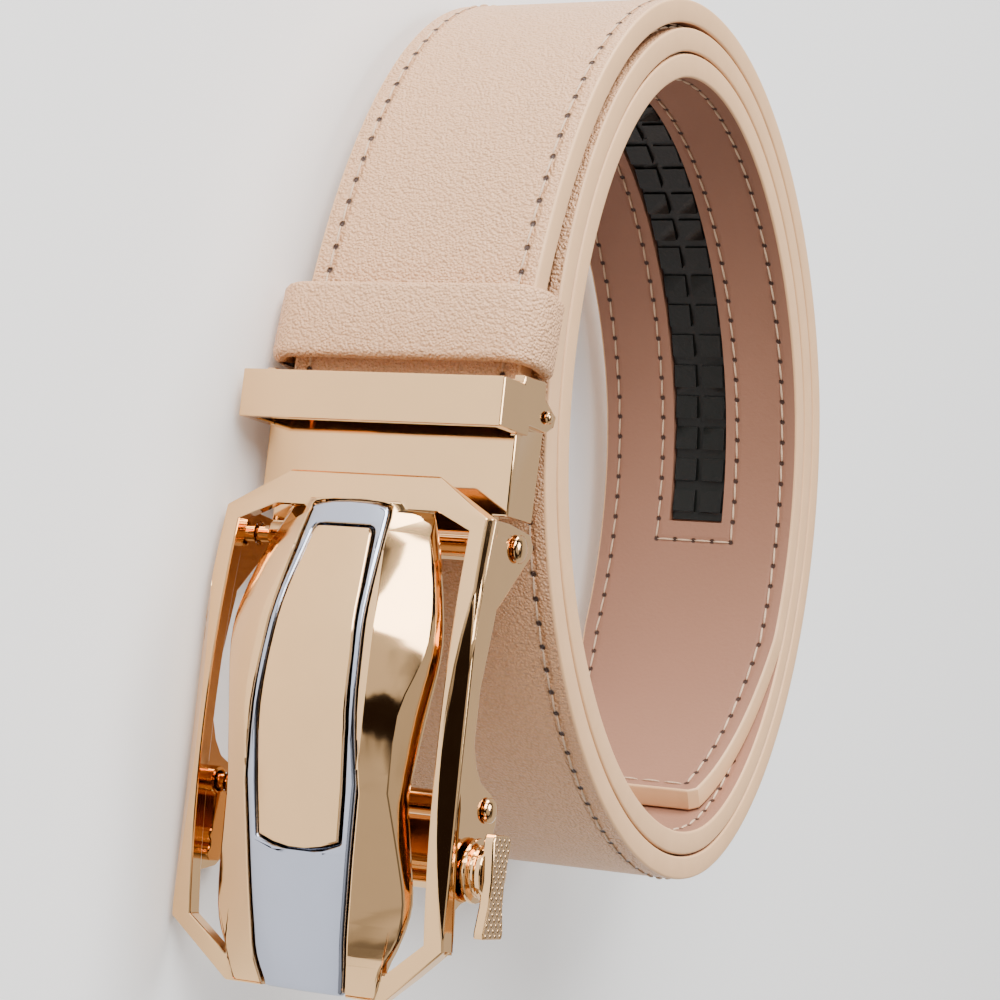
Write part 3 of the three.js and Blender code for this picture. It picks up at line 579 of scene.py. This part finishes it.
def face_lay(mesh):
    """Mean place of each face on the strap's flat lay."""
    layer = mesh.uv_layers["lay"]
    spots = np.empty(len(mesh.loops) * 2)
    layer.data.foreach_get("uv", spots)
    spots = spots.reshape(-1, 2)
    starts = np.empty(len(mesh.polygons), dtype=int)
    counts = np.empty(len(mesh.polygons), dtype=int)
    mesh.polygons.foreach_get("loop_start", starts)
    mesh.polygons.foreach_get("loop_total", counts)
    sums = np.add.reduceat(spots, starts, axis=0)
    return sums / counts[:, None]


# Columns of the strap's mesh past this share of its half width keep to its edge
EDGE_SHARE = 0.6


def slot_share():
    """The slot's half width as a share of the strap's."""
    return SLOT_HALF / (sizes().width / 2)


def across_places():
    """Columns of the strap's mesh as shares of half its width, two of them on the slot's edges."""
    half = [0, 0.14, slot_share(), 0.45, EDGE_SHARE + 0.02, 0.9, 1]
    return np.array([-share for share in half[:0:-1]] + half)


class BELT_OT_strap(bpy.types.Operator):
    """Rolls the strap: a flat strip, tapered and slotted, wound up and given its thickness"""
    bl_idname = "belt.strap"
    bl_label = "Strap"

    def execute(self, context):
        line, even = outer_line()
        columns = across_places()
        lay_down()
        bpy.ops.mesh.primitive_grid_add(
            x_subdivisions=len(even) - 1, y_subdivisions=len(columns) - 1, size=2)
        strap = rename("strap_leather")
        mesh = strap.data
        flat = np.empty(len(mesh.vertices) * 3)
        mesh.vertices.foreach_get("co", flat)
        flat = flat.reshape(-1, 3)
        row = np.rint((flat[:, 0] + 1) / 2 * (len(even) - 1)).astype(int)
        column = np.rint((flat[:, 1] + 1) / 2 * (len(columns) - 1)).astype(int)
        share = columns[column]
        half = half_width(even[-1] - even[row])
        # The slot's columns run straight on through the taper, and the outer ones follow it
        across = np.where(np.abs(share) <= slot_share(), share * sizes().width / 2, share * half)
        points = np.column_stack([line[row], across])
        mesh.vertices.foreach_set("co", to_frame(points).ravel())
        beside = np.sign(across) * (sizes().width / 2 - half)
        outermost = np.abs(share) > EDGE_SHARE
        self.lay_out(mesh, even[row], across + np.where(outermost, beside, 0))
        first = mesh.polygons[0]
        outward = -inward_normals(line)[row[first.vertices[0]]]
        if first.normal.x * outward[0] + first.normal.y * outward[1] < 0:
            select_faces(strap, np.ones(len(mesh.polygons), dtype=bool))
            bpy.ops.mesh.flip_normals()
            bpy.ops.object.mode_set(mode="OBJECT")
        dress(strap, grained_leather(), smooth_lining(), painted_edge())
        wall = strap.modifiers.new("wall", "SOLIDIFY")
        wall.thickness = sizes().thickness
        wall.offset = -1
        wall.material_offset = 1
        wall.material_offset_rim = 2
        rounding = strap.modifiers.new("rounding", "BEVEL")
        rounding.width = sizes().edge_round
        rounding.segments = 3
        rounding.limit_method = "ANGLE"
        rounding.angle_limit = math.radians(60)
        rounding.material = 2
        apply_all(strap)
        self.cut_slot(strap, *slot_ends(line, even))
        soften(strap)
        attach(strap, "belt")
        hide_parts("strap")
        return {"FINISHED"}

    def lay_out(self, mesh, along, across):
        """The flat lay of the strap, in metres, as its map. It keeps its full width in the taper."""
        while mesh.uv_layers:
            mesh.uv_layers.remove(mesh.uv_layers[0])
        layer = mesh.uv_layers.new(name="lay")
        corners = np.empty(len(mesh.loops), dtype=int)
        mesh.loops.foreach_get("vertex_index", corners)
        layer.data.foreach_set("uv", np.column_stack([along[corners], across[corners]]).ravel())

    def cut_slot(self, strap, low, high):
        """The lining's slot for the track, pressed in from the inner face."""
        mesh = strap.data
        spots = face_lay(mesh)
        inner = np.empty(len(mesh.polygons), dtype=int)
        mesh.polygons.foreach_get("material_index", inner)
        chosen = ((inner == 1) & (np.abs(spots[:, 1]) < SLOT_HALF)
                  & (spots[:, 0] < high) & (spots[:, 0] > low))
        select_faces(strap, chosen)
        bpy.ops.mesh.extrude_region_shrink_fatten(TRANSFORM_OT_shrink_fatten={"value": -SLOT_DEPTH})
        bpy.ops.object.mode_set(mode="OBJECT")


def stitch_model():
    """One short length of thread, drawn down at both ends: its points and faces."""
    lay_down()
    bpy.ops.mesh.primitive_uv_sphere_add(segments=8, ring_count=6, radius=0.5)
    stitch = rename("stitch")
    mesh = stitch.data
    points = np.empty(len(mesh.vertices) * 3)
    mesh.vertices.foreach_get("co", points)
    points = points.reshape(-1, 3)
    points = points[:, [2, 0, 1]] * np.array([2.0, 1.0, 1.0])
    full = np.sqrt(np.clip(1 - np.abs(points[:, 0]) ** 4, 0, 1))
    faces = [tuple(face.vertices) for face in mesh.polygons]
    bpy.data.objects.remove(stitch)
    shaped = np.column_stack([points[:, 0] * THREAD_LENGTH / 2,
                              points[:, 1] * THREAD_WIDTH,
                              points[:, 2] * THREAD_HEIGHT + (full - 0.75) * THREAD_BEND])
    return shaped, faces


def sew(name, rows, line, even, depth):
    """Copies of the stitch in rows of (along, across, turned) on a face of the strap."""
    shaped, faces = stitch_model()
    inward = inward_normals(line)
    points = []
    polygons = []
    for along, across, turned in rows:
        base = len(points) * len(shaped)
        run, side, lift = shaped[:, 0], shaped[:, 1], shaped[:, 2]
        cosine, sine = math.cos(turned), math.sin(turned)
        at = along + run * cosine - side * sine
        x = np.interp(at, even, line[:, 0])
        y = np.interp(at, even, line[:, 1])
        nx = np.interp(at, even, inward[:, 0])
        ny = np.interp(at, even, inward[:, 1])
        proud = lift + THREAD_PROUD
        sink = -proud if depth == 0 else depth + proud
        height = across + run * sine + side * cosine
        points.append(np.column_stack([x + nx * sink, y + ny * sink, height]))
        polygons.extend(tuple(base + corner for corner in face) for face in faces)
    mesh = bpy.data.meshes.new(name)
    mesh.from_pydata(to_frame(np.vstack(points)).tolist(), [], polygons)
    seam = bpy.data.objects.new(name, mesh)
    bpy.context.scene.collection.objects.link(seam)
    pick(seam)
    bpy.ops.object.mode_set(mode="EDIT")
    bpy.ops.mesh.select_all(action="SELECT")
    bpy.ops.mesh.normals_make_consistent(inside=False)
    bpy.ops.object.mode_set(mode="OBJECT")
    bpy.ops.object.shade_smooth()
    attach(seam, "belt")
    return seam


class BELT_OT_stitching(bpy.types.Operator):
    """Sews the strap: two long seams on each face and a seam round the track's slot"""
    bl_idname = "belt.stitching"
    bl_label = "Stitching"

    def execute(self, context):
        line, even = outer_line()
        thread = sewing_thread()
        pitch = sizes().stitch_pitch
        length = even[-1]
        inset = sizes().stitch_inset
        quarter = math.radians(90)
        narrowing = math.atan2(sizes().width / 2 - TIP_HALF, TAPER_LENGTH)
        edges = []
        for index in range(int((length - inset) / pitch)):
            along = (index + 0.5) * pitch
            half = float(half_width(np.array([length - along]))[0]) - inset
            turned = STITCH_SLANT - (narrowing if length - along < TAPER_LENGTH else 0)
            edges.extend((along, side * half, turned * side) for side in (-1, 1))
        across_tip = TIP_HALF - inset
        count = round(2 * across_tip / pitch)
        tip_row = length - inset * TIP_ROW_INSET
        edges.extend((tip_row, (2 * (index + 0.5) / count - 1) * across_tip, quarter)
                     for index in range(count))
        dress(sew("outer_seams", edges, line, even, 0), thread)
        dress(sew("lining_seams", edges, line, even, sizes().thickness), thread)
        low, high = slot_ends(line, even)
        seam_end = high + SLOT_END_SEAM
        rows = []
        for index in range(int((seam_end - low) / pitch)):
            rows.extend((seam_end - (index + 0.5) * pitch, side * SLOT_SEAM, STITCH_SLANT * side)
                        for side in (-1, 1))
        rows.extend((seam_end, place * SLOT_SEAM / 2, quarter) for place in (-1.5, -0.5, 0.5, 1.5))
        dress(sew("slot_seam", rows, line, even, sizes().thickness), thread)
        return {"FINISHED"}


def finished(node, body, slot, width, *materials, segments=2, smooth=18, sharp=26, joined=True):
    """The node's own shape with its edges rounded by width and its curves smooth.

    Edges sharper than the angle sharp are rounded, and shading is creased above the angle
    smooth. Flat faces are joined first, apart from pieces that joined faces would spoil.
    """
    lay_down()
    piece = bpy.data.objects.new(node + "_finished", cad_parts[node].data.copy())
    bpy.context.scene.collection.objects.link(piece)
    pick(piece)
    bpy.ops.object.mode_set(mode="EDIT")
    bpy.ops.mesh.select_all(action="SELECT")
    bpy.ops.mesh.remove_doubles(threshold=MERGE_DISTANCE)
    if joined:
        bpy.ops.mesh.dissolve_limited(angle_limit=math.radians(0.5))
    bpy.ops.object.mode_set(mode="OBJECT")
    dress(piece, *materials)
    if width:
        rounding = piece.modifiers.new("rounding", "BEVEL")
        rounding.width = width
        rounding.segments = segments
        rounding.limit_method = "ANGLE"
        rounding.angle_limit = math.radians(sharp)
        rounding.use_clamp_overlap = False
        apply_all(piece)
    soften(piece, smooth)
    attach(piece, body)
    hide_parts(node)
    return piece


class BELT_OT_buckle(bpy.types.Operator):
    """Polishes the metal pieces, rounds their edges and knurls the release lever"""
    bl_idname = "belt.buckle"
    bl_label = "Buckle"

    def execute(self, context):
        gold = polished_plate("gold_plate_finish", colours().gold, 0.07)
        silver = polished_plate("silver_plate_finish", colours().silver, 0.13)
        knurl = polished_plate("knurled_gold_finish", colours().gold, 0.16, knurled=True)
        edge = sizes().metal_edge
        outward, skin = 0.95, 0.2 * MM
        for node in ("strap_clamp", "clamp_flap", "flap_pin", "hinge_pin"):
            finished(node, "belt", "gold_plate", edge, gold)
        finished("buckle_frame", "faceplate", "gold_plate", edge, gold,
                 smooth=9, sharp=15, joined=False)
        finished("silver_inlay", "faceplate", "silver_plate", 3 * edge, silver, segments=5)
        finished("gold_insert", "faceplate", "gold_plate", edge, gold)
        finished("pawl_pin", "faceplate", "gold_plate", edge / 2, gold)
        finished("pawl", "pawl", "gold_plate", edge, gold)
        lever = finished("release_lever", "lever", "gold_plate", edge, gold, knurl)
        outer_face = max(corner[2] for corner in lever.bound_box) - skin
        for face in lever.data.polygons:
            if face.normal.z > outward and face.center.z > outer_face:
                face.material_index = 1
        return {"FINISHED"}


class BELT_OT_track(bpy.types.Operator):
    """Gives the track its moulded plastic"""
    bl_idname = "belt.track"
    bl_label = "Track"

    def execute(self, context):
        finished("ratchet_track", "belt", "track_rubber", 0, moulded_track(), joined=False)
        return {"FINISHED"}


class BELT_OT_keeper(bpy.types.Operator):
    """Wraps the keeper loop in the strap's grained leather, with soft edges"""
    bl_idname = "belt.keeper"
    bl_label = "Keeper loop"

    def execute(self, context):
        finished("keeper_loop", "belt", "leather", KEEPER_ROUNDING, grained_leather(seams=False),
                 segments=4, sharp=40, smooth=40)
        return {"FINISHED"}


class BELT_OT_stage(bpy.types.Operator):
    """Sets the pale floor, the soft lights and the photograph's camera"""
    bl_idname = "belt.stage"
    bl_label = "Stage"

    def execute(self, context):
        lay_down()
        bpy.ops.mesh.primitive_plane_add(size=6)
        floor = rename("floor")
        paper = Finish("floor_paper", (0.93, 0.93, 0.93), 0.75)
        paper.shader.inputs["Emission Color"].default_value = (1, 1, 1, 1)
        paper.shader.inputs["Emission Strength"].default_value = 0.06
        dress(floor, paper.material)
        for lamp in LIGHTS:
            self.light(*lamp)
        self.studio(context)
        self.camera(context)
        return {"FINISHED"}

    def studio(self, context):
        """Light walls and dark gaps round the belt, which its plating mirrors."""
        world = bpy.data.worlds.new("studio")
        context.scene.world = world
        world.use_nodes = True
        room = Nodes(world.node_tree)
        where = room.places("Generated")
        x, y, z = room.split(where)
        sway = room.noise(3.4, 4.0, where=where) - 0.5
        level = z + sway * 0.5
        # The wall behind the camera, with a dark gap, and dimmer past the gap
        ahead = y.fade(-0.25, 0.1)
        gap = abs(x - 0.07 + sway * 0.5).fade(0.14, 0.2)
        past_gap = x.fade(0.2, 0.3) * 0.45 + 0.55
        wall = level.fade(0.5, 0.62) * level.fade(0.12, 0.04) * (1 - gap) * past_gap * ahead
        # The wall behind the belt, the ceiling's middle and the glow of the floor's edge
        behind = y.fade(0.3, 0.0)
        back = level.fade(0.6, 0.85) * behind * 0.8
        crown = level.fade(0.97, 0.9) * 0.7
        low = z.fade(0.05, 0.2) * 0.25
        bright = wall.most(back).most(crown).most(low)
        colour = room.blend(bright, DARK_GAP, LIGHT_WALL)
        background = world.node_tree.nodes["Background"]
        world.node_tree.links.new(colour, background.inputs["Color"])
        background.inputs["Strength"].default_value = 1.0

    def light(self, name, place, size, power):
        """A square light that faces the belt."""
        lay_down()
        bpy.ops.object.light_add(type="AREA", location=place)
        lamp = bpy.context.object
        lamp.name = name
        lamp.data.size = size
        lamp.data.energy = power
        lamp.rotation_euler = (-Vector(place)).to_track_quat("-Z", "Y").to_euler()

    def camera(self, context):
        """The photograph's own view of the belt."""
        along = CAMERA_ALONG.normalized()
        right = along.cross(CAMERA_UP).normalized()
        up = right.cross(along)
        turned = Matrix((right, up, -along)).transposed().to_4x4()
        data = bpy.data.cameras.new("camera")
        data.lens = CAMERA_LENS
        data.sensor_width = 36
        data.clip_start = 0.01
        camera = bpy.data.objects.new("camera", data)
        context.scene.collection.objects.link(camera)
        camera.matrix_world = Matrix.Translation(CAMERA_PLACE) @ turned
        context.scene.camera = camera


class BELT_PT_panel(bpy.types.Panel):
    """The belt's sizes and colours, and a button for each group of pieces"""
    bl_idname = "BELT_PT_panel"
    bl_label = "Ratchet belt"
    bl_space_type = "VIEW_3D"
    bl_region_type = "UI"
    bl_category = "Belt"

    def draw(self, context):
        for group in (context.scene.belt_sizes, context.scene.belt_colours):
            for name in group.bl_rna.properties.keys():
                if name not in ("rna_type", "name"):
                    self.layout.prop(group, name)
        for operator in OPERATORS:
            self.layout.operator(operator.bl_idname)


OPERATORS = [BELT_OT_strap, BELT_OT_stitching, BELT_OT_track,
             BELT_OT_keeper, BELT_OT_buckle, BELT_OT_stage]
CLASSES = [BeltSizes, BeltColours, *OPERATORS, BELT_PT_panel]


def register():
    for item in CLASSES:
        bpy.utils.register_class(item)
    bpy.types.Scene.belt_sizes = bpy.props.PointerProperty(type=BeltSizes)
    bpy.types.Scene.belt_colours = bpy.props.PointerProperty(type=BeltColours)


def unregister():
    del bpy.types.Scene.belt_colours
    del bpy.types.Scene.belt_sizes
    for item in reversed(CLASSES):
        bpy.utils.unregister_class(item)


def main():
    register()
    bpy.ops.belt.strap()
    bpy.ops.belt.stitching()
    bpy.ops.belt.track()
    bpy.ops.belt.keeper()
    bpy.ops.belt.buckle()
    bpy.ops.belt.stage()


if __name__ == "__main__":
    main()
